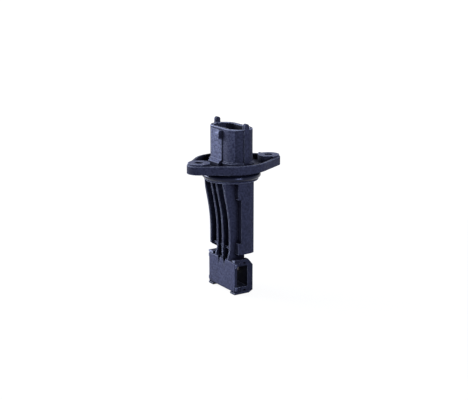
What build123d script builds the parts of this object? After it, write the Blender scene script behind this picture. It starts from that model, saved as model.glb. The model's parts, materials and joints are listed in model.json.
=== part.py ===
from build123d import *
from math import cos, radians, sin, tan
import os

os.makedirs("parts", exist_ok=True)

# Lengths are in millimetres. Z runs up the plug axis, and Z = 0 is the underside of the flange,
# which seats on the air duct. X runs along the airflow. Y runs along the flange, from the ribbed
# side of the stem to its lid side.

# Flange: the screw holes sit off its middle, so that it fits only one way round
flange_half_width = 19.5
lobe_radius = 6.2
hole_x = 3.0
hole_spacing = 42.4
screw_hole_diameter = 4.8
screw_boss_radius = 5.7
plate_thickness = 4.4
boss_rise = 0.95
rim_wall = 1.2
cored_floor = 1.4
tab_width = 1.0
near_tab_angle = 15.0
near_tab_reach = 6.2
far_tab_angle = 10.0
far_tab_reach = 7.3
flange_chamfer = 0.25

# Collar and its seal, under a shoulder that drops into the duct's counterbore
shoulder_radius = 15.6
shoulder_height = 1.2
collar_radius = 14.2
collar_height = 5.9
collar_chamfer = 0.3
groove_start = 1.8
groove_width = 3.0
groove_root_radius = 12.6
ring_section = 2.8
ring_section_sides = 16
ring_seat_gap = 0.05

# Plug shell, an oval with its long axis along the airflow
shell_half_straight = 6.7
shell_half_width = 7.4
shell_wall = 1.7
shell_rim_z = 21.9
rim_chamfer = 0.25
socket_floor_z = 6.0
finger_width = 2.7
finger_rise = 3.0
finger_depth = 2.0
finger_proud = 0.8
coding_pad_start = -6.7
coding_pad_end = 3.2
coding_pad_rise = 0.5
coding_pad_drop = 1.2
pad_foot_reach = 2.0
pad_foot_low_z = 3.9
pad_foot_high_z = 5.4
latch_width = 3.1
latch_height = 4.1
latch_proud = 1.9
latch_drop = 1.3
latch_slope = 0.6
plinth_margin = 0.7
plinth_skirt_z = 4.2
plinth_skirt = 0.7
plinth_taper = 42.0

# Stem: a slice of a cylinder with ribs in front and the electronics bay behind
stem_radius = 14.1
stem_front_y = -4.0
stem_back_y = 5.6
stem_bottom_z = -43.5
inner_rib_x = 2.55
outer_rib_x = 9.45
rib_thickness = 1.3
rib_foot_y = -6.95
rib_bend_radius = 84.0
rib_bend_start_z = -34.4
rib_splay = 11.3
rib_bottom_z = -41.5
foot_web_thickness = 1.1
foot_web_setback = 1.3
notch_depth = 1.6
notch_top_z = -14.4
notch_bottom_z = -37.6

# Neck between the stem and the measuring box
neck_front_y = -3.0
neck_back_y = 2.4
neck_setback = 1.1
neck_plug_inset = 0.4
neck_plug_front_y = -2.3
neck_plug_back_y = 0.6
neck_plug_gap = 0.1
fin_thickness = 0.9
fin_kink_z = -42.2
fin_foot_y = -8.2
fin_bottom_z = -46.8

# Electronics bay and its lid
bay_half_width = 10.2
bay_top_z = -9.1
bay_bottom_z = -40.4
board_seat_y = -1.8
lid_thickness = 1.6
lid_lap = 1.5
lid_gap = 0.1
lid_plug_depth = 0.8
lid_corner = 1.0

# Board and what sits on it
board_side_gap = 0.8
board_top_gap = 4.3
board_bottom_gap = 3.0
board_thickness = 0.8
gel_depth = 2.6

# Terminals
terminal_count = 5
terminal_pitch = 4.0
terminal_width = 1.5
terminal_thickness = 0.6
terminal_tip_z = 15.4
terminal_foot_z = -12.8
terminal_crank_top_z = -2.0
terminal_crank_height = 3.0
terminal_tip_chamfer = 0.18
ribbon_width = 0.8
ribbon_thickness = 0.15
ribbon_rise = 0.9
ribbon_land = 0.5

# Strips that carry the sensing elements
lead_width = 0.7
lead_thickness = 0.3
lead_top_z = -35.8
film_lead_pitch = 1.7
film_pitch = 3.8
first_film_x = -0.05
bead_x = 7.15
bead_lead_pitch = 1.3
bead_lead_bottom_z = -52.9
bead_radius = 1.15

# Sensing films
film_width = 2.7
film_thickness = 0.35
film_top_z = -50.6
film_bottom_z = -55.4
film_lap = 1.4

# Measuring box: the body and the cover meet on a plane across the window
duct_half_length = 13.0
cover_face_y = -6.2
split_y = -2.6
duct_back_y = 5.05
end_top_z = -46.5
end_bottom_z = -65.1
roof_z = -47.4
floor_z = -63.9
channel_front_y = -4.65
channel_back_y = 1.9
channel_top_z = -49.9
channel_bottom_z = -61.3
top_bevel_y = 2.75
top_bevel_z = 3.4
bottom_bevel_y = 2.35
bottom_bevel_z = 1.3
lip_length = 4.4
near_lip_length = 2.6
lip_thickness = 1.1
lip_gap = 0.15
cover_chamfer = 0.4
seam_chamfer = 0.35
vee_width = 2.2
vee_depth = 4.4
vee_sink = 1.35
bead_band_proud = 0.8
bead_band_height = 2.0
bead_band_width = 0.9
tongue_inset = 1.9
tongue_thickness = 1.0
tongue_height = 0.8
tongue_end_y = 0.6
tongue_gap = 0.1
tongue_margin = 0.3
hook_depth = 0.4
hook_length = 1.5

# Places worked out from the sizes above
plate_top_z = plate_thickness
lip_start_x = duct_half_length - lip_length
near_lip_start_x = duct_half_length - near_lip_length
tongue_x = duct_half_length - tongue_inset
near_hole_y, far_hole_y = -hole_spacing / 2, hole_spacing / 2
hole_ys = (near_hole_y, far_hole_y)
rib_xs = (-outer_rib_x, -inner_rib_x, inner_rib_x, outer_rib_x)
neck_start_x = -inner_rib_x - rib_thickness / 2
outer_rib_side_x = outer_rib_x + rib_thickness / 2
neck_end_x = outer_rib_side_x - neck_setback
board_face_y = board_seat_y + board_thickness
lid_seat_y = stem_back_y - lid_thickness
bay_middle_z = (bay_top_z + bay_bottom_z) / 2
bay_height = bay_top_z - bay_bottom_z
board_half_width = bay_half_width - board_side_gap
board_top_z = bay_top_z - board_top_gap
board_bottom_z = bay_bottom_z + board_bottom_gap
terminal_xs = [(i - (terminal_count - 1) / 2) * terminal_pitch for i in range(terminal_count)]
film_xs = (first_film_x, first_film_x + film_pitch)
film_lead_xs = [x + side * film_lead_pitch / 2 for x in film_xs for side in (-1, 1)]
bead_lead_xs = [bead_x + side * bead_lead_pitch / 2 for side in (-1, 1)]
cover_top_z = end_top_z - lip_thickness - lip_gap
cover_bottom_z = end_bottom_z + lip_thickness + lip_gap
tongue_zs = (
    cover_top_z - tongue_margin - tongue_height / 2,
    cover_bottom_z + tongue_margin + tongue_height / 2,
)


def block(low, high, mode=Mode.ADD):
    """A rectangular block between two corners."""
    middle = [(a + b) / 2 for a, b in zip(low, high)]
    with Locations(tuple(middle)):
        Box(high[0] - low[0], high[1] - low[1], high[2] - low[2], mode=mode)


def flange_outline(inset):
    """The hull of the central round and the two screw lobes, moved in by inset."""
    Circle(flange_half_width - inset)
    for hole_y in hole_ys:
        with Locations((hole_x, hole_y)):
            Circle(lobe_radius - inset)
    make_hull()


def shell_oval(grow, mode=Mode.ADD):
    """The plug shell's oval, grown outwards by grow."""
    SlotCenterToCenter(2 * shell_half_straight, 2 * (shell_half_width + grow), mode=mode)


def save(piece, name):
    """Label one finished piece and write its file."""
    piece.part.label = name
    export_step(piece.part, f"parts/{name}.step")


# Terminals: blades in the middle of the socket, cranked back to the board's face
terminals = []
terminal_bay_y = board_face_y - terminal_thickness / 2
crank_bottom_z = terminal_crank_top_z - terminal_crank_height
half_blade = terminal_thickness / 2
for number, terminal_x in enumerate(terminal_xs, start=1):
    with BuildPart() as terminal:
        with BuildSketch(Plane.YZ.offset(terminal_x)):
            with BuildLine():
                Polyline(
                    (-half_blade, terminal_tip_z),
                    (-half_blade, terminal_crank_top_z),
                    (terminal_bay_y - half_blade, crank_bottom_z),
                    (terminal_bay_y - half_blade, terminal_foot_z),
                    (terminal_bay_y + half_blade, terminal_foot_z),
                    (terminal_bay_y + half_blade, crank_bottom_z),
                    (half_blade, terminal_crank_top_z),
                    (half_blade, terminal_tip_z),
                    close=True,
                )
            make_face()
        extrude(amount=terminal_width / 2, both=True)
        chamfer(terminal.faces().sort_by(Axis.Z)[-1].edges(), length=terminal_tip_chamfer)
    save(terminal, f"terminal_pin_{number}")
    terminals.append(terminal)

# Strips from the board down to the films and the temperature bead
element_leads = []
film_lead_bottom_z = film_top_z - film_lap
lead_places = [(x, film_lead_bottom_z) for x in film_lead_xs]
lead_places += [(x, bead_lead_bottom_z) for x in bead_lead_xs]
for number, (lead_x, lead_bottom_z) in enumerate(lead_places, start=1):
    with BuildPart() as element_lead:
        block(
            (lead_x - lead_width / 2, board_face_y, lead_bottom_z),
            (lead_x + lead_width / 2, board_face_y + lead_thickness, lead_top_z),
        )
    save(element_lead, f"element_lead_{number}")
    element_leads.append(element_lead)

# Ribs of the stem: splayed out at the collar, upright lower down, with sloped feet
splay = radians(rib_splay)
bend_end_z = rib_bend_start_z + rib_bend_radius * sin(splay)
bend_end_y = rib_foot_y - rib_bend_radius * (1 - cos(splay))
bend_middle_z = rib_bend_start_z + rib_bend_radius * sin(splay / 2)
bend_middle_y = rib_foot_y - rib_bend_radius * (1 - cos(splay / 2))
rib_top_z = -collar_height
rib_top_y = bend_end_y - (rib_top_z - bend_end_z) * tan(splay)
with BuildPart() as ribs:
    for rib_x in rib_xs:
        with BuildSketch(Plane.YZ.offset(rib_x)):
            with BuildLine():
                Polyline(
                    (rib_foot_y, rib_bend_start_z),
                    (rib_foot_y, rib_bottom_z),
                    (stem_front_y, stem_bottom_z),
                    (stem_front_y, rib_top_z),
                    (rib_top_y, rib_top_z),
                    (bend_end_y, bend_end_z),
                )
                ThreePointArc(
                    (bend_end_y, bend_end_z),
                    (bend_middle_y, bend_middle_z),
                    (rib_foot_y, rib_bend_start_z),
                )
            make_face()
        extrude(amount=rib_thickness / 2, both=True)
    # The ribs pass through the same bore as the collar
    with BuildSketch(Plane.XY.offset(rib_top_z)):
        Circle(collar_radius)
    extrude(amount=stem_bottom_z - rib_top_z, mode=Mode.INTERSECT)

# Plug shell and its socket, with the rim's edges broken
with BuildPart() as plug_shell:
    with BuildSketch(Plane.XY):
        shell_oval(0)
    extrude(amount=shell_rim_z)
    with BuildSketch(Plane.XY.offset(shell_rim_z)):
        shell_oval(-shell_wall)
    extrude(amount=-(shell_rim_z - socket_floor_z), mode=Mode.SUBTRACT)
    chamfer(plug_shell.faces().sort_by(Axis.Z)[-1].edges(), length=rim_chamfer)

# Housing: plug shell, flange, collar, stem and neck in one moulding
with BuildPart() as housing:
    # Collar with the groove for its seal
    with BuildSketch(Plane.XY):
        Circle(collar_radius)
    extrude(amount=-collar_height)
    chamfer(housing.faces().sort_by(Axis.Z)[0].edges(), length=collar_chamfer)
    with BuildSketch(Plane.XY.offset(-groove_start)):
        Circle(flange_half_width)
        Circle(groove_root_radius, mode=Mode.SUBTRACT)
    extrude(amount=-groove_width, mode=Mode.SUBTRACT)

    # Shoulder and flange plate
    with BuildSketch(Plane.XY):
        Circle(shoulder_radius)
    extrude(amount=-shoulder_height)
    with BuildSketch(Plane.XY):
        flange_outline(0)
    extrude(amount=plate_thickness)
    chamfer(housing.faces().sort_by(Axis.Z)[-1].edges(), length=flange_chamfer)

    # Cored top: a rim is left round the edge
    with BuildSketch(Plane.XY.offset(plate_top_z)):
        flange_outline(rim_wall)
        for hole_y in hole_ys:
            with Locations((hole_x, hole_y)):
                Circle(screw_boss_radius, mode=Mode.SUBTRACT)
    extrude(amount=-(plate_thickness - cored_floor), mode=Mode.SUBTRACT)

    # Screw bosses, with thin tabs that tie them to the rim
    with BuildSketch(Plane.XY):
        for hole_y in hole_ys:
            with Locations((hole_x, hole_y)):
                Circle(screw_boss_radius)
        for hole_y, tab_angle, tab_reach in (
            (near_hole_y, near_tab_angle, near_tab_reach),
            (far_hole_y, far_tab_angle, far_tab_reach),
        ):
            for turn in (-tab_angle, 180 + tab_angle):
                with Locations(Location((hole_x, hole_y), turn)):
                    Rectangle(tab_reach, tab_width, align=(Align.MIN, Align.CENTER))
    extrude(amount=plate_thickness + boss_rise)

    # Plinth with sloped sides round the foot of the shell
    with BuildSketch(Plane.XY):
        shell_oval(plinth_margin)
    extrude(amount=plinth_skirt_z)
    with BuildSketch(Plane.XY.offset(plinth_skirt_z)):
        shell_oval(plinth_margin)
    extrude(amount=plinth_skirt, taper=plinth_taper)

    add(plug_shell.part)

    # Raised coding pad with a sloped foot, and the latch wedge, on the ribbed side
    shell_face_y = -shell_half_width
    pad_face_y = shell_face_y - coding_pad_rise
    pad_root_y = shell_face_y + shell_wall / 2
    block(
        (coding_pad_start, pad_face_y, plinth_skirt_z),
        (coding_pad_end, pad_root_y, shell_rim_z - coding_pad_drop),
    )
    with BuildSketch(Plane.YZ.offset(coding_pad_start)):
        with BuildLine():
            Polyline(
                (pad_root_y, 0),
                (pad_face_y - pad_foot_reach, 0),
                (pad_face_y - pad_foot_reach, pad_foot_low_z),
                (pad_face_y, pad_foot_high_z),
                (pad_root_y, pad_foot_high_z),
                close=True,
            )
        make_face()
    extrude(amount=coding_pad_end - coding_pad_start)
    latch_top_z = shell_rim_z - latch_drop
    latch_face_y = pad_face_y - latch_proud
    with BuildSketch(Plane.YZ.offset(coding_pad_end - latch_width)):
        with BuildLine():
            Polyline(
                (shell_face_y, latch_top_z),
                (latch_face_y + latch_slope, latch_top_z),
                (latch_face_y, latch_top_z - 2 * latch_slope),
                (latch_face_y, latch_top_z - latch_height),
                (shell_face_y, latch_top_z - latch_height),
                close=True,
            )
        make_face()
    extrude(amount=latch_width)

    # Fingers at both ends of the oval, standing above the rim
    finger_outer_x = shell_half_straight + shell_half_width + finger_proud
    finger_top_z = shell_rim_z + finger_rise
    finger_middle_z = finger_top_z / 2
    for plane_x in (-finger_outer_x, finger_outer_x - finger_depth):
        with BuildSketch(Plane.YZ.offset(plane_x)):
            with Locations((0, finger_middle_z)):
                SlotOverall(finger_top_z, finger_width, rotation=90)
        extrude(amount=finger_depth)

    # Stem
    with BuildSketch(Plane.XY.offset(-collar_height)):
        Circle(stem_radius)
        with Locations((0, (stem_front_y + stem_back_y) / 2)):
            Rectangle(2 * stem_radius, stem_back_y - stem_front_y, mode=Mode.INTERSECT)
    extrude(amount=stem_bottom_z + collar_height)

    # Ribs, and the web that joins them at the foot
    add(ribs.part)
    block(
        (-outer_rib_x, rib_foot_y + foot_web_setback, rib_bottom_z),
        (outer_rib_x, stem_front_y, rib_bottom_z + foot_web_thickness),
    )

    # Notches beside the outer ribs
    for side in (-1, 1):
        notch_xs = sorted((side * outer_rib_side_x, side * stem_radius))
        block(
            (notch_xs[0], stem_front_y, notch_bottom_z),
            (notch_xs[1], stem_front_y + notch_depth, notch_top_z),
            mode=Mode.SUBTRACT,
        )

    # Neck, with a plug that enters the roof of the measuring box
    block(
        (neck_start_x, neck_front_y, roof_z),
        (neck_end_x, neck_back_y, stem_bottom_z),
    )
    block(
        (neck_start_x + neck_plug_inset, neck_plug_front_y, channel_top_z),
        (neck_end_x - neck_plug_inset, neck_plug_back_y, roof_z),
    )

    # Three of the ribs run on as fins in front of the neck, and two of them flare at the foot
    for fin_x, foot_y in (
        (-inner_rib_x, fin_foot_y),
        (inner_rib_x, rib_foot_y),
        (outer_rib_x, fin_foot_y),
    ):
        with BuildSketch(Plane.YZ.offset(fin_x - rib_thickness / 2)):
            with BuildLine():
                Polyline(
                    (neck_front_y, rib_bottom_z + foot_web_thickness),
                    (rib_foot_y, rib_bottom_z + foot_web_thickness),
                    (rib_foot_y, fin_kink_z),
                    (foot_y, fin_bottom_z),
                    (cover_face_y, fin_bottom_z),
                    (cover_face_y + lip_thickness, roof_z),
                    (neck_front_y, roof_z),
                    close=True,
                )
            make_face()
        extrude(amount=fin_thickness)

    # Electronics bay: the board's seat, shelves for the terminals and strips, and the lid's rebate
    with BuildSketch(Plane.XZ.offset(-lid_seat_y)):
        with Locations((0, bay_middle_z)):
            Rectangle(2 * bay_half_width, bay_height)
    extrude(amount=lid_seat_y - board_face_y, mode=Mode.SUBTRACT)
    block(
        (-bay_half_width, board_seat_y, board_bottom_z - lid_gap),
        (bay_half_width, board_face_y, board_top_z + lid_gap),
        mode=Mode.SUBTRACT,
    )
    with BuildSketch(Plane.XZ.offset(-stem_back_y)):
        with Locations((0, bay_middle_z)):
            RectangleRounded(
                2 * (bay_half_width + lid_lap + lid_gap), bay_height + 2 * (lid_lap + lid_gap), lid_corner
            )
    extrude(amount=lid_thickness, mode=Mode.SUBTRACT)

    # Screw holes
    with Locations(*[(hole_x, hole_y, plate_top_z + boss_rise) for hole_y in hole_ys]):
        Hole(screw_hole_diameter / 2, depth=2 * plate_top_z)

    # The terminals and strips are moulded in
    for metal in terminals + element_leads:
        add(metal.part, mode=Mode.SUBTRACT)
save(housing, "housing")

# Seal ring, seated on the root of the groove; its round section is drawn with small flats
with BuildPart() as o_ring:
    ring_centre_radius = groove_root_radius + ring_seat_gap + ring_section / 2
    with BuildSketch(Plane.XZ):
        with Locations((ring_centre_radius, -groove_start - groove_width / 2)):
            RegularPolygon(ring_section / 2, ring_section_sides)
    revolve(axis=Axis.Z)
save(o_ring, "o_ring")

# Ceramic circuit board on its seat
with BuildPart() as circuit_board:
    block(
        (-board_half_width, board_seat_y, board_bottom_z),
        (board_half_width, board_face_y, board_top_z),
    )
save(circuit_board, "circuit_board")

# Chips and capacitors: name, middle on the board in X and Z, size in X and Z, height
mounted_sizes = (
    ("signal_chip", -2.0, -23.0, 6.0, 6.0, 1.3),
    ("driver_chip", 5.2, -19.5, 4.2, 4.2, 1.1),
    ("capacitor_1", -6.8, -28.5, 2.0, 1.25, 1.2),
    ("capacitor_2", -6.8, -31.2, 2.0, 1.25, 1.2),
    ("capacitor_3", 6.4, -27.5, 3.2, 1.6, 1.5),
)
mounted = []
for name, middle_x, middle_z, size_x, size_z, height in mounted_sizes:
    with BuildPart() as component:
        block(
            (middle_x - size_x / 2, board_face_y, middle_z - size_z / 2),
            (middle_x + size_x / 2, board_face_y + height, middle_z + size_z / 2),
        )
    save(component, name)
    mounted.append(component)

# Aluminium ribbons that bridge from each terminal's foot to the board
ribbons = []
ribbon_half_span = (terminal_foot_z - board_top_z) / 2 + 2 * ribbon_land
ribbon_middle_z = (terminal_foot_z + board_top_z) / 2
for number, terminal_x in enumerate(terminal_xs, start=1):
    with BuildPart() as ribbon:
        with BuildSketch(Plane.YZ.offset(terminal_x)):
            with BuildLine():
                arch = [
                    (board_face_y, -ribbon_half_span),
                    (board_face_y, -ribbon_half_span + ribbon_land),
                    (board_face_y + ribbon_rise, -ribbon_land / 2),
                    (board_face_y + ribbon_rise, ribbon_land / 2),
                    (board_face_y, ribbon_half_span - ribbon_land),
                    (board_face_y, ribbon_half_span),
                ]
                lower_side = [(y, ribbon_middle_z + along) for y, along in arch]
                upper_side = [(y + ribbon_thickness, z) for y, z in reversed(lower_side)]
                Polyline(*lower_side, *upper_side, close=True)
            make_face()
        extrude(amount=ribbon_width / 2, both=True)
    save(ribbon, f"bond_ribbon_{number}")
    ribbons.append(ribbon)

# Gel poured over the board, round everything that it meets
with BuildPart() as potting_gel:
    block(
        (-bay_half_width, board_face_y, bay_bottom_z),
        (bay_half_width, board_face_y + gel_depth, bay_top_z),
    )
    for embedded in mounted + ribbons + terminals + element_leads:
        add(embedded.part, mode=Mode.SUBTRACT)
save(potting_gel, "potting_gel")

# Lid: a plate in the rebate, with a plug that centres it in the bay
with BuildPart() as electronics_lid:
    with BuildSketch(Plane.XZ.offset(-stem_back_y)):
        with Locations((0, bay_middle_z)):
            RectangleRounded(2 * (bay_half_width + lid_lap), bay_height + 2 * lid_lap, lid_corner)
    extrude(amount=lid_thickness)
    chamfer(electronics_lid.faces().sort_by(Axis.Y)[-1].edges(), length=seam_chamfer)
    with BuildSketch(Plane.XZ.offset(-lid_seat_y)):
        with Locations((0, bay_middle_z)):
            Rectangle(2 * (bay_half_width - lid_gap), bay_height - 2 * lid_gap)
    extrude(amount=lid_plug_depth)
save(electronics_lid, "electronics_lid")

# Sensing films, each across the ends of two strips
for name, film_x in (("heated_film", film_xs[0]), ("reference_film", film_xs[1])):
    with BuildPart() as film:
        block(
            (film_x - film_width / 2, board_face_y - film_thickness, film_bottom_z),
            (film_x + film_width / 2, board_face_y, film_top_z),
        )
    save(film, name)

# Bead that measures the air's temperature, on its own two strips
with BuildPart() as air_temperature_bead:
    with Locations((bead_x, board_face_y + lead_thickness / 2, bead_lead_bottom_z)):
        Sphere(bead_radius)
    for lead in element_leads[-2:]:
        add(lead.part, mode=Mode.SUBTRACT)
save(air_temperature_bead, "air_temperature_bead")


# Duct cover: the flat-faced half of the measuring box
with BuildPart() as duct_cover:
    block(
        (-duct_half_length, cover_face_y, cover_bottom_z),
        (duct_half_length, split_y, cover_top_z),
    )
    chamfer(duct_cover.faces().sort_by(Axis.Y)[0].edges(), length=cover_chamfer)
    chamfer(
        duct_cover.faces().sort_by(Axis.Y)[-1].edges().filter_by(Axis.Z), length=seam_chamfer
    )
    block(
        (-duct_half_length, channel_front_y, channel_bottom_z),
        (duct_half_length, split_y, channel_top_z),
        mode=Mode.SUBTRACT,
    )
    # Tapered grooves in the face, under the inner ribs
    with BuildSketch(Plane.XZ.offset(-cover_face_y - vee_sink)):
        for notch_x in (-inner_rib_x, inner_rib_x):
            with BuildLine():
                Polyline(
                    (notch_x - vee_width / 2, cover_top_z),
                    (notch_x, cover_top_z - vee_depth),
                    (notch_x + vee_width / 2, cover_top_z),
                    close=True,
                )
            make_face()
    extrude(amount=vee_sink, mode=Mode.SUBTRACT)
    # Small bands at the four corners of the end faces
    for side in (-1, 1):
        band_inner_x = side * (duct_half_length - bead_band_proud)
        band_outer_x = side * (duct_half_length + bead_band_proud)
        band_y = cover_face_y + cover_chamfer
        low_band_top_z = cover_bottom_z + bead_band_height + bead_band_proud
        for band_top_z in (cover_top_z - bead_band_proud, low_band_top_z):
            block(
                (min(band_inner_x, band_outer_x), band_y, band_top_z - bead_band_height),
                (max(band_inner_x, band_outer_x), band_y + bead_band_width, band_top_z),
            )
    # Snap tongues that hook behind windows in the body's end frames
    for side in (-1, 1):
        for tongue_z in tongue_zs:
            inner_x = side * (tongue_x - tongue_thickness / 2)
            outer_x = side * (tongue_x + tongue_thickness / 2)
            hook_x = side * (tongue_x + tongue_thickness / 2 + hook_depth)
            low_z = tongue_z - tongue_height / 2
            high_z = tongue_z + tongue_height / 2
            block(
                (min(inner_x, outer_x), split_y, low_z),
                (max(inner_x, outer_x), tongue_end_y, high_z),
            )
            block(
                (min(outer_x, hook_x), tongue_end_y - hook_length, low_z),
                (max(outer_x, hook_x), tongue_end_y, high_z),
            )
save(duct_cover, "duct_cover")

# Duct body: the other half, with end frames that wrap over the cover's edges
with BuildPart() as duct_body:
    with BuildSketch(Plane.YZ.offset(-duct_half_length)):
        with BuildLine():
            Polyline(
                (split_y, end_top_z),
                (duct_back_y - top_bevel_y, end_top_z),
                (duct_back_y, end_top_z - top_bevel_z),
                (duct_back_y, end_bottom_z + bottom_bevel_z),
                (duct_back_y - bottom_bevel_y, end_bottom_z),
                (split_y, end_bottom_z),
                close=True,
            )
        make_face()
    extrude(amount=2 * duct_half_length)

    # Lips over the cover at the ends; the lower ones are the feet
    for low_x, high_x, low_z, high_z in (
        (-duct_half_length, -lip_start_x, end_top_z - lip_thickness, end_top_z),
        (near_lip_start_x, duct_half_length, end_top_z - lip_thickness, end_top_z),
        (-duct_half_length, -lip_start_x, end_bottom_z, end_bottom_z + lip_thickness),
        (lip_start_x, duct_half_length, end_bottom_z, end_bottom_z + lip_thickness),
    ):
        block((low_x, cover_face_y, low_z), (high_x, split_y, high_z))

    # Between the end frames the roof and the floor are lower
    block(
        (-lip_start_x, split_y, roof_z),
        (near_lip_start_x, duct_back_y, end_top_z),
        mode=Mode.SUBTRACT,
    )
    block(
        (-lip_start_x, split_y, end_bottom_z),
        (lip_start_x, duct_back_y, floor_z),
        mode=Mode.SUBTRACT,
    )

    # Channel, the neck's way in, and the tongues' slots and windows
    block(
        (-duct_half_length, split_y, channel_bottom_z),
        (duct_half_length, channel_back_y, channel_top_z),
        mode=Mode.SUBTRACT,
    )
    block(
        (
            neck_start_x + neck_plug_inset - neck_plug_gap,
            neck_plug_front_y - neck_plug_gap,
            channel_top_z,
        ),
        (
            neck_end_x - neck_plug_inset + neck_plug_gap,
            neck_plug_back_y + neck_plug_gap,
            roof_z,
        ),
        mode=Mode.SUBTRACT,
    )
    for side in (-1, 1):
        for tongue_z in tongue_zs:
            slot_xs = sorted(
                (
                    side * (tongue_x - tongue_thickness / 2 - tongue_gap),
                    side * (tongue_x + tongue_thickness / 2 + tongue_gap),
                )
            )
            low_z = tongue_z - tongue_height / 2 - tongue_gap
            high_z = tongue_z + tongue_height / 2 + tongue_gap
            block(
                (slot_xs[0], split_y, low_z),
                (slot_xs[1], tongue_end_y + tongue_gap, high_z),
                mode=Mode.SUBTRACT,
            )
            window_xs = sorted((side * tongue_x, side * duct_half_length))
            block(
                (window_xs[0], tongue_end_y - hook_length - tongue_gap, low_z),
                (window_xs[1], tongue_end_y + tongue_gap, high_z),
                mode=Mode.SUBTRACT,
            )
save(duct_body, "duct_body")
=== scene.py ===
# %% [markdown]
# # A mass airflow sensor, dressed for its picture
# The sensor plugs into an engine's air duct. The CAD model gives every piece its real shape and place,
# so this lesson adds what a CAD file has no words for: eased edges, the grain of moulded plastic, the
# gloss of an oiled seal, and studio light. Everything is in metres, in the CAD model's own frame.

# %% Load the CAD model
import json
from math import cos, pi, radians, sin

import bpy
from mathutils import Matrix, Vector


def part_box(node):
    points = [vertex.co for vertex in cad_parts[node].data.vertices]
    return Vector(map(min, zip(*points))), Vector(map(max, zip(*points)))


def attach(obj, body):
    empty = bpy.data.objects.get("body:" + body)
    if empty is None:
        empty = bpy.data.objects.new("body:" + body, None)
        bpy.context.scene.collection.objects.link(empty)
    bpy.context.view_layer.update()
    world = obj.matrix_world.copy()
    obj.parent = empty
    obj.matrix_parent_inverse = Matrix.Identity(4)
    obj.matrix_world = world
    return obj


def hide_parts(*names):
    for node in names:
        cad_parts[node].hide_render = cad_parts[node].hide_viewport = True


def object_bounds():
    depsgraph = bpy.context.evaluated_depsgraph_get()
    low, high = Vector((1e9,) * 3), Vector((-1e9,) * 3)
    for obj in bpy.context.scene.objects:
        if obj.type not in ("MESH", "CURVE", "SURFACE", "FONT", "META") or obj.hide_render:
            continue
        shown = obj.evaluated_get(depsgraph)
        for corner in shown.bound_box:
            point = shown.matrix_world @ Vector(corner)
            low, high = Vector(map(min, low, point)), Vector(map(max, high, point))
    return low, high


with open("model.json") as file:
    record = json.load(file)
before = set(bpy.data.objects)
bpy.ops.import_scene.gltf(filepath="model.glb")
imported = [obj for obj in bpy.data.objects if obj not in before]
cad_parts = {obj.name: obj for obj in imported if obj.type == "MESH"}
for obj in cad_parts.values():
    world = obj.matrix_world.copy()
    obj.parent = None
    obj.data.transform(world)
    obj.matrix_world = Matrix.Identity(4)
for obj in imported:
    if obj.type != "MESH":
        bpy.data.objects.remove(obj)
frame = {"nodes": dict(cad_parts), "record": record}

MM = 0.001
cad_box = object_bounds()
print("CAD nodes:", len(frame["nodes"]), "box:", cad_box)

# %% [markdown]
# ## Camera
# The photograph looks at the ribbed side and one end of the measuring box, from a little above. A long
# lens from half a metre away keeps the upright lines upright. The camera is built from its heading, its
# pitch and one point of the object whose place in the picture is known, so nothing has to be nudged.

# %% Camera
IMAGE_WIDTH_PX, IMAGE_HEIGHT_PX = 468, 400
SENSOR_WIDTH_MM = 36.0
NEAREST_SEEN = 10 * MM
heading, pitch = radians(57.9), radians(13.64)
lens_px = 1074.6
distance = 558.8 * MM
aim_point = Vector((0, 0, -1.4 * MM))
aim_px = (231.3, 170.05)

right = Vector((cos(heading), sin(heading), 0))
level_ahead = Vector((-sin(heading), cos(heading), 0))
ahead = level_ahead * cos(pitch) - Vector((0, 0, 1)) * sin(pitch)
above = level_ahead * sin(pitch) + Vector((0, 0, 1)) * cos(pitch)
aim_right = (aim_px[0] - IMAGE_WIDTH_PX / 2) / lens_px * distance
aim_up = -(aim_px[1] - IMAGE_HEIGHT_PX / 2) / lens_px * distance
camera_place = aim_point - ahead * distance - right * aim_right - above * aim_up
camera_axes = Matrix((right, above, -ahead)).transposed()

bpy.ops.object.camera_add(location=camera_place, rotation=camera_axes.to_euler())
camera = bpy.context.object
camera.name = "photo_camera"
camera.data.sensor_width = SENSOR_WIDTH_MM
camera.data.lens = lens_px * SENSOR_WIDTH_MM / IMAGE_WIDTH_PX
camera.data.clip_start = NEAREST_SEEN
bpy.context.scene.camera = camera
print("camera at", [round(c, 4) for c in camera_place], "lens", round(camera.data.lens, 2), "mm")

# %% [markdown]
# ## Background
# The picture's background is plain white, but a white world all round would wash the black plastic out.
# Light Path tells the rays apart: what the camera, a reflection or a clear body sees is white, and the
# light that falls on the sensor from the world is a dim blue grey.

# %% Background
WHITE = (1, 1, 1, 1)
ROOM_LIGHT = (0.13, 0.14, 0.17, 1)


def connect(tree, start, end):
    """Joins an output socket to an input socket."""
    tree.links.new(start, end)


def seen_directly(tree):
    """A value that is 1 for camera, glossy and transmission rays."""
    light_path = tree.nodes.new("ShaderNodeLightPath")
    camera_or_glossy = tree.nodes.new("ShaderNodeMath")
    camera_or_glossy.operation = "MAXIMUM"
    connect(tree, light_path.outputs["Is Camera Ray"], camera_or_glossy.inputs[0])
    connect(tree, light_path.outputs["Is Glossy Ray"], camera_or_glossy.inputs[1])
    any_of_them = tree.nodes.new("ShaderNodeMath")
    any_of_them.operation = "MAXIMUM"
    connect(tree, camera_or_glossy.outputs[0], any_of_them.inputs[0])
    connect(tree, light_path.outputs["Is Transmission Ray"], any_of_them.inputs[1])
    return any_of_them.outputs[0]


world = bpy.data.worlds.new("studio")
bpy.context.scene.world = world
world.use_nodes = True
world_tree = world.node_tree
background = world_tree.nodes["Background"]
background.inputs["Strength"].default_value = 1.0
world_mix = world_tree.nodes.new("ShaderNodeMix")
world_mix.data_type = "RGBA"
world_mix.inputs["A"].default_value = ROOM_LIGHT
world_mix.inputs["B"].default_value = WHITE
connect(world_tree, seen_directly(world_tree), world_mix.inputs["Factor"])
connect(world_tree, world_mix.outputs["Result"], background.inputs["Color"])
print("world:", world.name)

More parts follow.
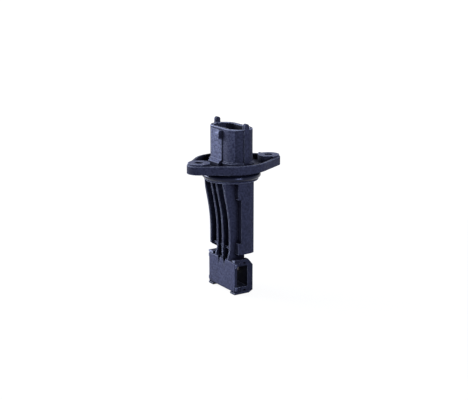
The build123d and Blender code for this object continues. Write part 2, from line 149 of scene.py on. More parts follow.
# %% [markdown]
# ## Floor
# The sensor stands on white paper. The paper glows for the rays that see it directly, and keeps a share
# of its own shading, so a soft shadow is left under the feet. Far away the camera sees the paper at a
# low angle and the shading would draw a grey band, so the glow's share grows with the distance.

# %% Floor
PAPER_SIZE = 6.0
PAPER_COLOUR = (0.6, 0.6, 0.62, 1)
PAPER_GLOW = 1.16
PAPER_FADE = {"From Min": 0.15, "From Max": 0.5, "To Min": 0.8, "To Max": 0.95}
floor_z = cad_box[0][2]
bpy.ops.mesh.primitive_plane_add(size=PAPER_SIZE, location=(0, 0, floor_z))
floor = bpy.context.object
floor.name = "studio_floor"

floor_paper = bpy.data.materials.new("floor_paper")
floor_paper.use_nodes = True
paper_tree = floor_paper.node_tree
paper_tree.nodes.clear()
paper_place = paper_tree.nodes.new("ShaderNodeTexCoord")
paper_far = paper_tree.nodes.new("ShaderNodeVectorMath")
paper_far.operation = "LENGTH"
connect(paper_tree, paper_place.outputs["Object"], paper_far.inputs[0])
paper_fade = paper_tree.nodes.new("ShaderNodeMapRange")
for label, number in PAPER_FADE.items():
    paper_fade.inputs[label].default_value = number
connect(paper_tree, paper_far.outputs["Value"], paper_fade.inputs["Value"])
paper_share = paper_tree.nodes.new("ShaderNodeMath")
paper_share.operation = "MULTIPLY"
connect(paper_tree, seen_directly(paper_tree), paper_share.inputs[0])
connect(paper_tree, paper_fade.outputs["Result"], paper_share.inputs[1])

paper_diffuse = paper_tree.nodes.new("ShaderNodeBsdfDiffuse")
paper_diffuse.inputs["Color"].default_value = PAPER_COLOUR
paper_glow = paper_tree.nodes.new("ShaderNodeEmission")
paper_glow.inputs["Strength"].default_value = PAPER_GLOW
paper_mix = paper_tree.nodes.new("ShaderNodeMixShader")
paper_out = paper_tree.nodes.new("ShaderNodeOutputMaterial")
connect(paper_tree, paper_share.outputs[0], paper_mix.inputs["Fac"])
connect(paper_tree, paper_diffuse.outputs[0], paper_mix.inputs[1])
connect(paper_tree, paper_glow.outputs[0], paper_mix.inputs[2])
connect(paper_tree, paper_mix.outputs[0], paper_out.inputs["Surface"])
floor.data.materials.append(floor_paper)
print("floor at z =", round(floor_z, 4))

# %% [markdown]
# ## Lamps
# The main light is a large soft box on the left, a little behind the object. It glances off the flat
# ribbed side, and the ribs throw their pockets into deep shadow. A weak one high over that side softens
# the shadows, one high behind the object makes the flange's top edges bright, and one on the right
# opens up the end faces.

# %% Lamps
LAMP_TARGET = Vector((0, 0, -18 * MM))
COOL, COOLER, COOLEST = (0.88, 0.92, 1.0), (0.84, 0.89, 1.0), (0.82, 0.88, 1.0)


def soft_box(name, direction, reach, width, height, watts, tint):
    """A rectangular lamp that looks at the middle of the object from a direction."""
    place = LAMP_TARGET + Vector(direction).normalized() * reach
    bpy.ops.object.light_add(type="AREA", location=place)
    lamp = bpy.context.object
    lamp.name = name
    lamp.rotation_euler = (LAMP_TARGET - place).to_track_quat("-Z", "Y").to_euler()
    lamp.data.shape = "RECTANGLE"
    lamp.data.size = width
    lamp.data.size_y = height
    lamp.data.energy = watts
    lamp.data.color = tint
    print(name, watts, "W")


soft_box("key_box", (-0.84, -0.5, 0.26), reach=0.75, width=0.5, height=0.34, watts=7.6, tint=COOLER)
soft_box("front_box", (-0.25, -0.7, 0.75), reach=0.8, width=0.4, height=0.4, watts=0.4, tint=COOL)
soft_box("back_box", (-0.6, 0.6, 0.8), reach=0.8, width=0.5, height=0.35, watts=1.3, tint=COOL)
soft_box("end_box", (0.95, -0.04, 0.3), reach=0.8, width=0.3, height=0.24, watts=4.2, tint=COOLEST)

# %% [markdown]
# ## Shared effects
# Effects that several finishes use are shader node groups with named inputs. They give out only masks,
# values, heights and normals, and each material decides what to do with them. A few helpers make the
# nodes that the groups and the materials are built from.

# %% Node helpers
FULL = (0.0, 1.0)
FALLING = (1.0, 0.0)


def new_group(name, inputs, outputs):
    """A node group with its sockets, and its input and output nodes."""
    tree = bpy.data.node_groups.new(name, "ShaderNodeTree")
    for label, value in inputs.items():
        socket = tree.interface.new_socket(label, in_out="INPUT", socket_type="NodeSocketFloat")
        socket.default_value = value
    for label in outputs:
        tree.interface.new_socket(label, in_out="OUTPUT", socket_type="NodeSocketFloat")
    return tree, tree.nodes.new("NodeGroupInput"), tree.nodes.new("NodeGroupOutput")


def math_node(tree, operation, first, second=None, clamp=False):
    """A Math node whose inputs are sockets or numbers. Returns its output socket."""
    node = tree.nodes.new("ShaderNodeMath")
    node.operation = operation
    node.use_clamp = clamp
    for index, value in enumerate((first, second)):
        if value is None:
            continue
        if isinstance(value, (int, float)):
            node.inputs[index].default_value = value
        else:
            connect(tree, value, node.inputs[index])
    return node.outputs[0]


def noise(tree, scale, detail=2.0, roughness=0.5):
    """Noise over the object's own coordinates. Returns its value socket."""
    place = tree.nodes.new("ShaderNodeTexCoord")
    node = tree.nodes.new("ShaderNodeTexNoise")
    node.inputs["Detail"].default_value = detail
    node.inputs["Roughness"].default_value = roughness
    if isinstance(scale, (int, float)):
        node.inputs["Scale"].default_value = scale
    else:
        connect(tree, scale, node.inputs["Scale"])
    connect(tree, place.outputs["Object"], node.inputs["Vector"])
    return node.outputs[0]


def remap(tree, value, old, new=FULL):
    """Stretches a value from an old range to a new one, clamped."""
    node = tree.nodes.new("ShaderNodeMapRange")
    connect(tree, value, node.inputs["Value"])
    for label, number in zip(("From Min", "From Max", "To Min", "To Max"), (*old, *new)):
        node.inputs[label].default_value = number
    return node.outputs["Result"]


# %% [markdown]
# ### Spark-eroded grain
# The mould's steel was eroded by sparks, so the plastic is covered with shallow pits. Here they are
# about a millimetre across, with ever finer ones in them, and they scatter the light into a speckle. A
# coarser noise adds the cloudy flow marks of glass-filled nylon.

# %% Spark-eroded grain
grain, grain_in, grain_out = new_group(
    "moulded_grain",
    {"Pits per Metre": 1100.0, "Clouds per Metre": 420.0, "Cloud Strength": 0.2},
    ["Shade", "Dullness", "Height"],
)
pits = noise(grain, grain_in.outputs["Pits per Metre"], detail=4.0, roughness=0.7)
clouds = noise(grain, grain_in.outputs["Clouds per Metre"], detail=3.0)
pit_shade = remap(grain, pits, (0.4, 0.6))
cloud_shade = remap(grain, clouds, (0.3, 0.7))
towards_clouds = math_node(grain, "SUBTRACT", cloud_shade, pit_shade)
towards_clouds = math_node(grain, "MULTIPLY", towards_clouds, grain_in.outputs["Cloud Strength"])
shade = math_node(grain, "ADD", pit_shade, towards_clouds, clamp=True)
connect(grain, shade, grain_out.inputs["Shade"])
connect(grain, cloud_shade, grain_out.inputs["Dullness"])
connect(grain, pits, grain_out.inputs["Height"])
print("moulded_grain:", len(grain.nodes), "nodes")

# %% [markdown]
# ### Rubbed and highlighted edges
# Handling polishes the edges of a moulding and leaves them a little lighter, and the pale colour on them
# is also a painted highlight of the light that the edges catch. The Bevel node gives the normal that a
# rounded edge would have. Where it leans away from the true normal, there is an edge. A noise breaks the
# rub up, and the painted highlight fades on the faces that look along X, whose edges stay dark.

# %% Rubbed edges with a painted highlight
EDGE_LEAN = (0.998, 0.93)
worn_highlit_edges, worn_highlit_edges_in, worn_highlit_edges_out = new_group("rubbed_and_highlit_edges", {"Width": 0.4 * MM, "Strength": 1.0}, ["Mask"])
worn_highlit_edges.interface.new_socket("Rounded Normal", in_out="OUTPUT", socket_type="NodeSocketVector")
rounded = worn_highlit_edges.nodes.new("ShaderNodeBevel")
rounded.samples = 6
connect(worn_highlit_edges, worn_highlit_edges_in.outputs["Width"], rounded.inputs["Radius"])
geometry = worn_highlit_edges.nodes.new("ShaderNodeNewGeometry")
lean = worn_highlit_edges.nodes.new("ShaderNodeVectorMath")
lean.operation = "DOT_PRODUCT"
connect(worn_highlit_edges, rounded.outputs["Normal"], lean.inputs[0])
connect(worn_highlit_edges, geometry.outputs["True Normal"], lean.inputs[1])
facing = worn_highlit_edges.nodes.new("ShaderNodeSeparateXYZ")
connect(worn_highlit_edges, geometry.outputs["True Normal"], facing.inputs[0])
along_x = math_node(worn_highlit_edges, "ABSOLUTE", facing.outputs["X"])
broken_up = remap(worn_highlit_edges, noise(worn_highlit_edges, 900.0), (0.3, 0.6), (0.35, 1.0))
# The edge mask is partly wear and partly a painted highlight
wear_and_highlight_mask = math_node(worn_highlit_edges, "MULTIPLY", remap(worn_highlit_edges, lean.outputs["Value"], EDGE_LEAN), broken_up)
wear_and_highlight_mask = math_node(worn_highlit_edges, "MULTIPLY", wear_and_highlight_mask, remap(worn_highlit_edges, along_x, (0.55, 0.9), FALLING))
wear_and_highlight_mask = math_node(worn_highlit_edges, "MULTIPLY", wear_and_highlight_mask, worn_highlit_edges_in.outputs["Strength"], clamp=True)
connect(worn_highlit_edges, wear_and_highlight_mask, worn_highlit_edges_out.inputs["Mask"])
connect(worn_highlit_edges, rounded.outputs["Normal"], worn_highlit_edges_out.inputs["Rounded Normal"])
print("rubbed_and_highlit_edges:", len(worn_highlit_edges.nodes), "nodes")

# %% [markdown]
# ### Settled dust
# A faint film of dust and mould release lies in patches, mostly on what faces up.

# %% Settled dust
dust, dust_in, dust_out = new_group("settled_dust", {"Amount": 0.3}, ["Mask"])
dust_geometry = dust.nodes.new("ShaderNodeNewGeometry")
dust_facing = dust.nodes.new("ShaderNodeSeparateXYZ")
connect(dust, dust_geometry.outputs["Normal"], dust_facing.inputs[0])
facing_up = remap(dust, dust_facing.outputs["Z"], (0.2, 1.0), (0.25, 1.0))
dust_patches = remap(dust, noise(dust, 180.0, detail=5.0, roughness=0.65), (0.42, 0.68))
dust_mask = math_node(dust, "MULTIPLY", facing_up, dust_patches)
dust_mask = math_node(dust, "MULTIPLY", dust_mask, dust_in.outputs["Amount"], clamp=True)
connect(dust, dust_mask, dust_out.inputs["Mask"])
print("settled_dust:", len(dust.nodes), "nodes")

# %% [markdown]
# ### Painted shade in the corners
# Pockets and corners are painted darker and duller, as painted shade where little light gets in. The
# Ambient Occlusion node finds them: it is 1 in the open and falls where walls stand close by.

# %% Painted shade in the corners
corner_shade, corner_shade_in, corner_shade_out = new_group("painted_corner_shade", {"Reach": 5 * MM, "Amount": 1.0}, ["Mask"])
openness = corner_shade.nodes.new("ShaderNodeAmbientOcclusion")
openness.samples = 8
connect(corner_shade, corner_shade_in.outputs["Reach"], openness.inputs["Distance"])
corner_shade_mask = remap(corner_shade, openness.outputs["AO"], (0.45, 0.85), FALLING)
corner_shade_mask = math_node(corner_shade, "MULTIPLY", corner_shade_mask, corner_shade_in.outputs["Amount"], clamp=True)
connect(corner_shade, corner_shade_mask, corner_shade_out.inputs["Mask"])
print("painted_corner_shade:", len(corner_shade.nodes), "nodes")

# %% [markdown]
# ## Finishes
# Each finish starts from one Principled BSDF. Colours and roughness run through the shared groups, and
# whatever is the same all over, such as the sheen of the surface, is set on the shader itself.


# %% Finish helpers
def new_finish(name, **sockets):
    """A material with one Principled BSDF whose plain sockets are set by name."""
    finish = bpy.data.materials.new(name)
    finish.use_nodes = True
    shader = finish.node_tree.nodes["Principled BSDF"]
    for label, value in sockets.items():
        shader.inputs[label.replace("_", " ")].default_value = value
    return finish, finish.node_tree, shader


def place_group(tree, group, **values):
    """A group placed in a material, with its own input values."""
    node = tree.nodes.new("ShaderNodeGroup")
    node.node_tree = group
    for label, value in values.items():
        node.inputs[label.replace("_", " ")].default_value = value
    return node


def mix_colours(tree, factor, first, second):
    """Mixes two colours, which are sockets or tuples. Returns the result's socket."""
    node = tree.nodes.new("ShaderNodeMix")
    node.data_type = "RGBA"
    connect(tree, factor, node.inputs["Factor"])
    for label, value in (("A", first), ("B", second)):
        if isinstance(value, tuple):
            node.inputs[label].default_value = (*value, 1)
        else:
            connect(tree, value, node.inputs[label])
    return node.outputs["Result"]


def bump(tree, shader, height, depth, strength, normal=None):
    """Feeds a height in 0 to 1 to the shader's normal, with its depth in metres."""
    node = tree.nodes.new("ShaderNodeBump")
    node.inputs["Strength"].default_value = strength
    node.inputs["Distance"].default_value = depth
    connect(tree, height, node.inputs["Height"])
    if normal is not None:
        connect(tree, normal, node.inputs["Normal"])
    connect(tree, node.outputs["Normal"], shader.inputs["Normal"])


# %% [markdown]
# ### Zones
# A moulding is given zones that are painted paler or darker than the rest: a painted sheen where faces
# catch the light, and painted shade where little light gets in. Painting such zones would take an image,
# so
# each is a box instead: between its two corners the plastic has a dark and a light colour of its own.


# %% Zones
def box_in_metres(low, high):
    """Turns two corners from millimetres to metres."""
    return [value * MM for value in low], [value * MM for value in high]


def zone(low, high, dark, light):
    """A box between two corners in millimetres, with its two colours."""
    return box_in_metres(low, high), dark, light


def inside_box(tree, low, high):
    """A mask that is 1 between two corners, given in metres in the object's own coordinates."""
    place = tree.nodes.new("ShaderNodeTexCoord")
    split = tree.nodes.new("ShaderNodeSeparateXYZ")
    connect(tree, place.outputs["Object"], split.inputs[0])
    mask = None
    for axis, low_side, high_side in zip("XYZ", low, high):
        above_low = math_node(tree, "GREATER_THAN", split.outputs[axis], low_side)
        below_high = math_node(tree, "LESS_THAN", split.outputs[axis], high_side)
        between = math_node(tree, "MULTIPLY", above_low, below_high)
        mask = between if mask is None else math_node(tree, "MULTIPLY", mask, between)
    return mask


# %% [markdown]
# ### Moulded plastic
# The housing, the lid and the measuring box are glass-filled nylon, and differ only in their tones and
# their gloss. One function therefore makes all three. It starts with the grain's two tones, lays the
# zones of painted sheen and painted shade over them in order, then adds dust, the rubbed edges with
# their painted highlight, and painted shade in the corners, which is dull as well.
# Black plastic in a white studio turns grey easily, so its sheen is kept low and tinted blue.

# %% Moulded plastic
SHEEN = 0.1
SHEEN_TINT = (0.55, 0.6, 1.0, 1.0)
DUST_AMOUNT = 0.08
DUST_COLOUR = (0.16, 0.17, 0.22)
# Painted shade for pockets and corners: its colour, and how much duller it makes them
CORNER_SHADE_COLOUR = (0.004, 0.004, 0.009)
CORNER_SHADE_DULLNESS = 0.4
# How much stronger the painted highlight is on the rim's edges
RIM_HIGHLIGHT = 4.0
LESS_DULL, MORE_DULL = 0.05, 0.06
GRAIN_DEPTH = 0.06 * MM


def moulded_plastic(name, dark, light, worn_and_highlit, roughness, zones=(), highlit_rim=None):
    """Glass-filled plastic: grain, dust, rubbed edges with painted highlight, painted shade in pockets.

    Edges inside the rim box get several times as much painted highlight.
    """
    finish, tree, shader = new_finish(
        name, IOR=1.5, Specular_IOR_Level=SHEEN, Specular_Tint=SHEEN_TINT)
    texture = place_group(tree, grain)
    wear_and_highlight = place_group(tree, worn_highlit_edges)
    dusty = place_group(tree, dust, Amount=DUST_AMOUNT)
    shaded_corners = place_group(tree, corner_shade)
    colour = mix_colours(tree, texture.outputs["Shade"], dark, light)
    for box, zone_dark, zone_light in zones:
        zone_colour = mix_colours(tree, texture.outputs["Shade"], zone_dark, zone_light)
        colour = mix_colours(tree, inside_box(tree, *box), colour, zone_colour)
    colour = mix_colours(tree, dusty.outputs["Mask"], colour, DUST_COLOUR)
    edge_wear_and_highlight = wear_and_highlight.outputs["Mask"]
    if highlit_rim:
        more = math_node(tree, "MULTIPLY", inside_box(tree, *highlit_rim), RIM_HIGHLIGHT)
        more = math_node(tree, "ADD", more, 1.0)
        edge_wear_and_highlight = math_node(tree, "MULTIPLY", edge_wear_and_highlight, more, clamp=True)
    # Rubbed edges: partly wear, partly a painted highlight
    colour = mix_colours(tree, edge_wear_and_highlight, colour, worn_and_highlit)
    # Painted shade in pockets and corners
    colour = mix_colours(tree, shaded_corners.outputs["Mask"], colour, CORNER_SHADE_COLOUR)
    connect(tree, colour, shader.inputs["Base Color"])
    dullness = remap(
        tree, texture.outputs["Dullness"], FULL, (roughness - LESS_DULL, roughness + MORE_DULL))
    matted = math_node(tree, "MULTIPLY", shaded_corners.outputs["Mask"], CORNER_SHADE_DULLNESS)
    connect(tree, math_node(tree, "ADD", dullness, matted, clamp=True), shader.inputs["Roughness"])
    bump(
        tree, shader, texture.outputs["Height"], GRAIN_DEPTH, strength=0.6,
        normal=wear_and_highlight.outputs["Rounded Normal"])
    print(name, "zones:", len(zones), "nodes:", len(tree.nodes))
    return finish


# %% [markdown]
# ### Housing plastic
# The front of the shell and the pad on it are painted paler, a painted sheen of the light that glances
# off them, and the shell's rim gets a stronger painted highlight on its edges. The insides of the socket
# and the screw bores are painted nearly black as painted shade, and the tops of the two bosses get a
# painted sheen. The CAD record says where the socket's mouth and the screws are, and each zone reaches a
# little past the faces that it colours.

# %% Zones of the housing
# The dark and the light colour of a zone
# Painted sheen on the shell's front and on the pad
FRONT_SHEEN = (0.02, 0.022, 0.045), (0.09, 0.097, 0.165)
PAD_SHEEN = (0.036, 0.041, 0.074), (0.22, 0.238, 0.384)
# Painted sheen on the tops of the bosses
BOSS_TOP_SHEEN = (0.045, 0.05, 0.088), (0.15, 0.163, 0.27)
# Painted shade in the socket, the screw bores and the air channel
DIM = (0.004, 0.0045, 0.01), (0.011, 0.012, 0.024)
UNLIT = (0.002, 0.002, 0.005), (0.005, 0.005, 0.011)

mounts = {mount["name"]: mount for mount in frame["record"]["mounts"]}
rim_z = mounts["plug_socket"]["pos_m"][2] / MM
screw_x = mounts["flange_screws"]["pos_m"][0] / MM
screw_y = mounts["flange_screws"]["dims"]["spacing_y_mm"] / 2
bore_reach = mounts["flange_screws"]["dims"]["hole_r_mm"] + 0.1
boss_inner_reach, boss_outer_reach, boss_side_reach = 5.7, 6.3, 6.0
boss_top_z = 5.35
below_plate_z = -0.5
shell_foot_z, pad_foot_z, socket_floor_z = 5.4, 3.8, 5.5
pad_start_x, pad_end_x = -6.9, 3.12
latch_front_y, before_shell_y = -10.2, -7.6
round_end_x, round_end_y = 12, -5.15
inner_x, inner_y = 11.2, 5.8
outer_x, outer_y = 15, 9

# Painted sheen on the front of the shell and on the pad
shell_front = zone(
    (-round_end_x, before_shell_y, shell_foot_z), (round_end_x, round_end_y, rim_z - 0.2), *FRONT_SHEEN)
pad_insert = zone(
    (pad_start_x, latch_front_y, pad_foot_z), (pad_end_x, before_shell_y, rim_z - 0.9), *PAD_SHEEN)
# Painted shade inside the socket
socket_inside = zone((-inner_x, -inner_y, socket_floor_z), (inner_x, inner_y, rim_z - 0.3), *DIM)
# Edges in this box get a stronger painted highlight
rim_highlight_box = box_in_metres((-outer_x, -outer_y, rim_z - 0.6), (outer_x, outer_y, rim_z + 0.3))
# The boss tops get a painted sheen
boss_tops, screw_bores = [], []
for side in (-1, 1):
    bore_y = side * screw_y
    boss_inner_y = side * (screw_y - boss_inner_reach)
    boss_outer_y = side * (screw_y + boss_outer_reach)
    boss_tops.append(zone(
        (screw_x - boss_side_reach, min(boss_inner_y, boss_outer_y), boss_top_z - 0.1),
        (screw_x + boss_side_reach, max(boss_inner_y, boss_outer_y), boss_top_z + 0.15),
        *BOSS_TOP_SHEEN))
    # Painted shade in the screw bores
    screw_bores.append(zone(
        (screw_x - bore_reach, bore_y - bore_reach, below_plate_z),
        (screw_x + bore_reach, bore_y + bore_reach, boss_top_z - 0.15),
        *UNLIT))
print("socket's mouth at z =", rim_z, "screws at x =", screw_x, "and y =", screw_y, "mm either side")

# %% Housing plastic
housing_plastic = moulded_plastic(
    "housing_plastic",
    dark=(0.011, 0.012, 0.024),
    light=(0.036, 0.039, 0.072),
    worn_and_highlit=(0.52, 0.56, 0.78),
    roughness=0.64,
    zones=[shell_front, pad_insert, socket_inside, *boss_tops, *screw_bores],
    highlit_rim=rim_highlight_box,
)

# %% [markdown]
# ### Lid plastic
# The lid comes from a mould of its own. It is a little darker and glossier than the housing.

# %% Lid plastic
lid_plastic = moulded_plastic(
    "lid_plastic",
    dark=(0.011, 0.012, 0.023),
    light=(0.03, 0.033, 0.058),
    worn_and_highlit=(0.33, 0.36, 0.5),
    roughness=0.54,
)

# %% [markdown]
# ### Measuring box plastic
# The box is paler and glossier than the housing. Its lips and feet get a painted highlight on their
# front faces, its end faces are painted darker as painted shade, and the air channel is painted dark as
# painted shade.
# The zones are worked out from the box's own corners, apart from the channel's height and depth.

# %% Measuring box plastic
# How far a zone reaches past a face, and the height of the lips and feet, in millimetres
SKIN, LEDGE = 0.3, 1.2
# Painted highlight on the front faces of the lips and feet
LIP_AND_FOOT_HIGHLIGHT = (0.14, 0.155, 0.22), (0.4, 0.43, 0.58)
# Painted shade on the end faces
END_FACE_SHADE = (0.007, 0.008, 0.017), (0.02, 0.022, 0.044)
channel_front_y, channel_back_y = -5, 2.3
channel_floor_z, channel_roof_z = -62, -49
body_low, body_high = (Vector(corner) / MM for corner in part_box("duct_body"))
front_y, back_y = body_low.y, body_high.y
foot_top_z = body_low.z + LEDGE
lip_low_z = body_high.z - LEDGE

# Painted highlight on the lips and feet
top_lips = zone(
    (body_low.x - SKIN, front_y - SKIN, lip_low_z),
    (body_high.x + SKIN, front_y + SKIN, body_high.z + SKIN), *LIP_AND_FOOT_HIGHLIGHT)
feet = zone(
    (body_low.x - SKIN, front_y - SKIN, body_low.z - SKIN),
    (body_high.x + SKIN, front_y + SKIN, foot_top_z), *LIP_AND_FOOT_HIGHLIGHT)
# Painted shade on the end faces
end_faces = [
    zone(
        (x - SKIN / 2, front_y - SKIN, foot_top_z),
        (x + SKIN / 2, back_y + SKIN, body_high.z + SKIN), *END_FACE_SHADE)
    for x in (body_low.x, body_high.x)]
# Painted shade in the air channel
channel_inside = zone(
    (body_low.x + SKIN, channel_front_y, channel_floor_z),
    (body_high.x - SKIN, channel_back_y, channel_roof_z), *DIM)
duct_plastic = moulded_plastic(
    "duct_plastic",
    dark=(0.023, 0.026, 0.052),
    light=(0.09, 0.098, 0.182),
    worn_and_highlit=(0.5, 0.54, 0.76),
    roughness=0.48,
    zones=[top_lips, feet, *end_faces, channel_inside],
)

# %% [markdown]
# ### Seal rubber
# The ring is fluorocarbon rubber with a film of oil, so it is darker and much glossier than the
# plastic. The oil lies unevenly, which shows in the roughness and a little in the colour.

# %% Seal rubber
seal_rubber, rubber_tree, rubber_shader = new_finish(
    "seal_rubber", IOR=1.48, Specular_IOR_Level=0.3, Specular_Tint=SHEEN_TINT)
oil = noise(rubber_tree, 260.0, detail=4.0)
oil_roughness = remap(rubber_tree, oil, (0.3, 0.7), (0.12, 0.2))
oil_colour = mix_colours(rubber_tree, oil, (0.004, 0.005, 0.011), (0.009, 0.01, 0.022))
connect(rubber_tree, oil_roughness, rubber_shader.inputs["Roughness"])
connect(rubber_tree, oil_colour, rubber_shader.inputs["Base Color"])
bump(rubber_tree, rubber_shader, noise(rubber_tree, 1500.0), depth=0.004 * MM, strength=0.4)
print("seal_rubber nodes:", len(rubber_tree.nodes))

# %% [markdown]
# ### Metals
# The terminals are tin-plated brass, drawn lengthwise, so their fine lines run along Z. The ribbons are
# bright aluminium and the strips are nickel steel that has gone dark in the air stream, with the same
# lines, only finer. A noise that is stretched along Z makes the lines, so one function does for all.

# %% Metals
STRETCH_ALONG_Z = (1, 1, 0.03)
LINE_CONTRAST = (0.3, 0.7)
DULL_LINES = 0.15
LINE_DEPTH = 0.005 * MM


def drawn_metal(name, bright, dull, roughness, lines_per_metre):
    """Plated or drawn strip, with fine lines along its length."""
    finish, tree, shader = new_finish(name, Metallic=1.0)
    place = tree.nodes.new("ShaderNodeTexCoord")
    stretch = tree.nodes.new("ShaderNodeMapping")
    stretch.inputs["Scale"].default_value = STRETCH_ALONG_Z
    connect(tree, place.outputs["Object"], stretch.inputs["Vector"])
    lines = tree.nodes.new("ShaderNodeTexNoise")
    lines.inputs["Scale"].default_value = lines_per_metre
    lines.inputs["Detail"].default_value = 3.0
    connect(tree, stretch.outputs[0], lines.inputs["Vector"])
    connect(tree, mix_colours(tree, lines.outputs[0], dull, bright), shader.inputs["Base Color"])
    line_roughness = remap(tree, lines.outputs[0], LINE_CONTRAST, (roughness, roughness + DULL_LINES))
    connect(tree, line_roughness, shader.inputs["Roughness"])
    bump(tree, shader, lines.outputs[0], LINE_DEPTH, strength=0.5)
    print(name, "nodes:", len(tree.nodes))
    return finish


terminal_tin = drawn_metal(
    "terminal_tin", (0.82, 0.8, 0.74), (0.62, 0.6, 0.54), roughness=0.22, lines_per_metre=9000.0)
lead_nickel = drawn_metal(
    "lead_nickel", (0.17, 0.17, 0.17), (0.1, 0.1, 0.1), roughness=0.4, lines_per_metre=12000.0)
ribbon_aluminium = drawn_metal(
    "ribbon_aluminium", (0.86, 0.86, 0.88), (0.72, 0.72, 0.75), roughness=0.25,
    lines_per_metre=14000.0)

# %% [markdown]
# ### Ceramics, chips and gel
# The electronics are sealed inside. They still get finishes of their own, because the pieces can be
# shown apart: a sintered white board, fired capacitors, moulded chips and a milky silicone gel.

# %% Ceramics, chips and gel
TONE_CONTRAST = (0.35, 0.65)
TONE_ROUGHNESS = (0.3, 0.7)
ROUGHNESS_REACH = 0.06


def speckled(name, dark, light, roughness, scale, depth, **sockets):
    """A fired or cast surface: two tones, mixed by a fine noise that also roughens it."""
    finish, tree, shader = new_finish(name, **sockets)
    tone = noise(tree, scale, detail=4.0)
    tone_colour = mix_colours(tree, remap(tree, tone, TONE_CONTRAST), dark, light)
    connect(tree, tone_colour, shader.inputs["Base Color"])
    around_roughness = (roughness - ROUGHNESS_REACH, roughness + ROUGHNESS_REACH)
    connect(tree, remap(tree, tone, TONE_ROUGHNESS, around_roughness), shader.inputs["Roughness"])
    bump(tree, shader, tone, depth, strength=0.5)
    print(name, "nodes:", len(tree.nodes))
    return finish


board_ceramic = speckled(
    "board_ceramic", (0.74, 0.72, 0.66), (0.84, 0.82, 0.77), roughness=0.5,
    scale=3000.0, depth=0.01 * MM)
chip_plastic = speckled(
    "chip_plastic", (0.02, 0.02, 0.022), (0.045, 0.045, 0.05), roughness=0.42,
    scale=6000.0, depth=0.01 * MM)
capacitor_ceramic = speckled(
    "capacitor_ceramic", (0.36, 0.25, 0.15), (0.5, 0.37, 0.24), roughness=0.4,
    scale=4000.0, depth=0.01 * MM)
silicone_gel = speckled(
    "silicone_gel", (0.62, 0.64, 0.6), (0.72, 0.74, 0.7), roughness=0.14,
    scale=160.0, depth=0.1 * MM, Subsurface_Weight=0.3, Subsurface_Scale=2 * MM)
film_ceramic = speckled(
    "film_ceramic", (0.5, 0.54, 0.48), (0.62, 0.66, 0.6), roughness=0.3,
    scale=2500.0, depth=0.005 * MM)
bead_glaze = speckled(
    "bead_glaze", (0.014, 0.01, 0.009), (0.03, 0.02, 0.017), roughness=0.45,
    scale=900.0, depth=0.02 * MM)

# %% [markdown]
# ### Hand out the finishes
# Every CAD node gets the finish of its piece. The blades, ribbons, strips and capacitors have a number
# at the end of their names, so their finish goes by the words before it.

# %% Hand out the finishes
finish_of = {
    "housing": housing_plastic,
    "electronics_lid": lid_plastic,
    "duct_body": duct_plastic,
    "duct_cover": duct_plastic,
    "o_ring": seal_rubber,
    "circuit_board": board_ceramic,
    "signal_chip": chip_plastic,
    "driver_chip": chip_plastic,
    "potting_gel": silicone_gel,
    "heated_film": film_ceramic,
    "reference_film": film_ceramic,
    "air_temperature_bead": bead_glaze,
    "terminal_pin": terminal_tin,
    "bond_ribbon": ribbon_aluminium,
    "element_lead": lead_nickel,
    "capacitor": capacitor_ceramic,
}
for name, node in frame["nodes"].items():
    node.data.materials.clear()
    node.data.materials.append(finish_of[name.rstrip("_0123456789")])
print("finishes on", len(frame["nodes"]), "nodes")

# %% [markdown]
# ## Stand in for a CAD node
# A finished piece takes the place of the plain CAD node that it was made from. It rides on the root body
# and replaces the node in the picture.


def stand_for(piece, node_name):
    """Puts a finished piece on the root body and hides the CAD node that it stands for."""
    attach(piece, "root")
    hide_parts(node_name)
    print(piece.name, "faces:", len(piece.data.polygons))


# %% [markdown]
# ## Eased edges
# A CAD solid's edges are perfectly sharp, and a perfectly sharp edge never catches the light. Each
# piece that shows is therefore a copy of its CAD mesh: doubled points are welded, triangles that lie in
# one plane are dissolved into clean faces, and a Bevel modifier rounds the sharp edges. Smoothing by
# angle keeps the corners crisp, and Weighted Normal keeps the flat faces flat.

# %% Eased edges
WELD_REACH = 0.002 * MM
FLAT_ANGLE = radians(0.2)
SHARP_ANGLE = radians(32)
EDGE_SEGMENTS = 2
LARGE_FACE_WEIGHT = 100


def eased(node_name, piece_name, edge_radius=0):
    """Makes a finished copy of a CAD node. Its edges are rounded if a radius is given."""
    bpy.ops.object.select_all(action="DESELECT")
    node = frame["nodes"][node_name]
    piece = bpy.data.objects.new(piece_name, node.data.copy())
    bpy.context.collection.objects.link(piece)
    piece.select_set(True)
    bpy.context.view_layer.objects.active = piece
    bpy.ops.object.mode_set(mode="EDIT")
    bpy.ops.mesh.select_all(action="SELECT")
    bpy.ops.mesh.remove_doubles(threshold=WELD_REACH)
    bpy.ops.mesh.dissolve_limited(angle_limit=FLAT_ANGLE)
    bpy.ops.object.mode_set(mode="OBJECT")
    if edge_radius:
        bpy.ops.object.modifier_add(type="BEVEL")
        soften = piece.modifiers[-1]
        soften.width = edge_radius
        soften.segments = EDGE_SEGMENTS
        soften.limit_method = "ANGLE"
        soften.angle_limit = SHARP_ANGLE
        soften.miter_outer = "MITER_ARC"
        bpy.ops.object.modifier_apply(modifier=soften.name)
    bpy.ops.object.shade_smooth_by_angle(angle=SHARP_ANGLE)
    if edge_radius:
        bpy.ops.object.modifier_add(type="WEIGHTED_NORMAL")
        level_faces = piece.modifiers[-1]
        level_faces.weight = LARGE_FACE_WEIGHT
        level_faces.keep_sharp = True
        bpy.ops.object.modifier_apply(modifier=level_faces.name)
    stand_for(piece, node_name)


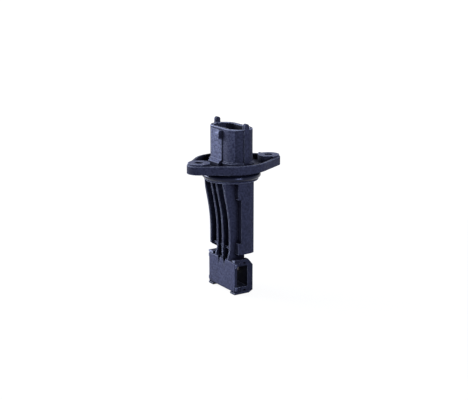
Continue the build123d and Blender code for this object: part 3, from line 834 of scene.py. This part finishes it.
# %% [markdown]
# ### The pieces that show
# The thicker a wall is, the larger a radius its edges can take. The blades are stamped, so theirs are
# small, and the bead is round all over and only smoothed.

# %% The pieces that show
eased("housing", "moulded_housing", 0.16 * MM)
eased("duct_body", "measuring_box_body", 0.14 * MM)
eased("duct_cover", "measuring_box_cover", 0.12 * MM)
eased("electronics_lid", "bay_lid", 0.12 * MM)
eased("air_temperature_bead", "temperature_bead")
for number in range(1, 6):
    eased(f"terminal_pin_{number}", f"plug_blade_{number}", 0.05 * MM)

# %% [markdown]
# ## Seal ring
# A moulded ring is round in section, and its gloss shows every facet. The CAD ring has a 16-sided
# section, so this one is spun anew: a circle of 32 points stands in the groove and turns once round
# the collar's axis. Its size and height are read from the CAD node's box.

# %% Seal ring
SECTION_POINTS = 32
TURN_STEPS = 128
ring_low, ring_high = (Vector(corner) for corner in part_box("o_ring"))
section_radius = (ring_high.z - ring_low.z) / 2
ring_radius = ring_high.x - section_radius
bpy.ops.object.select_all(action="DESELECT")
bpy.ops.mesh.primitive_circle_add(
    vertices=SECTION_POINTS, radius=section_radius, rotation=(radians(90), 0, 0),
    location=(ring_radius, 0, (ring_low.z + ring_high.z) / 2))
seal_ring = bpy.context.object
seal_ring.name = "seal_ring"
bpy.ops.object.transform_apply(location=True, rotation=True, scale=True)
bpy.ops.object.mode_set(mode="EDIT")
bpy.ops.mesh.select_all(action="SELECT")
bpy.ops.mesh.spin(steps=TURN_STEPS, angle=2 * pi, center=(0, 0, 0), axis=(0, 0, 1))
bpy.ops.mesh.select_all(action="SELECT")
bpy.ops.mesh.remove_doubles(threshold=WELD_REACH)
bpy.ops.mesh.normals_make_consistent(inside=False)
bpy.ops.object.mode_set(mode="OBJECT")
bpy.ops.object.shade_smooth()
seal_ring.data.materials.append(seal_rubber)
stand_for(seal_ring, "o_ring")
print("ring radius", round(ring_radius / MM, 2), "section", round(2 * section_radius / MM, 2), "mm")

# %% [markdown]
# ## Finish the file
# The colours are shown as they are.

# %% Finish
bpy.context.scene.view_settings.view_transform = "Standard"
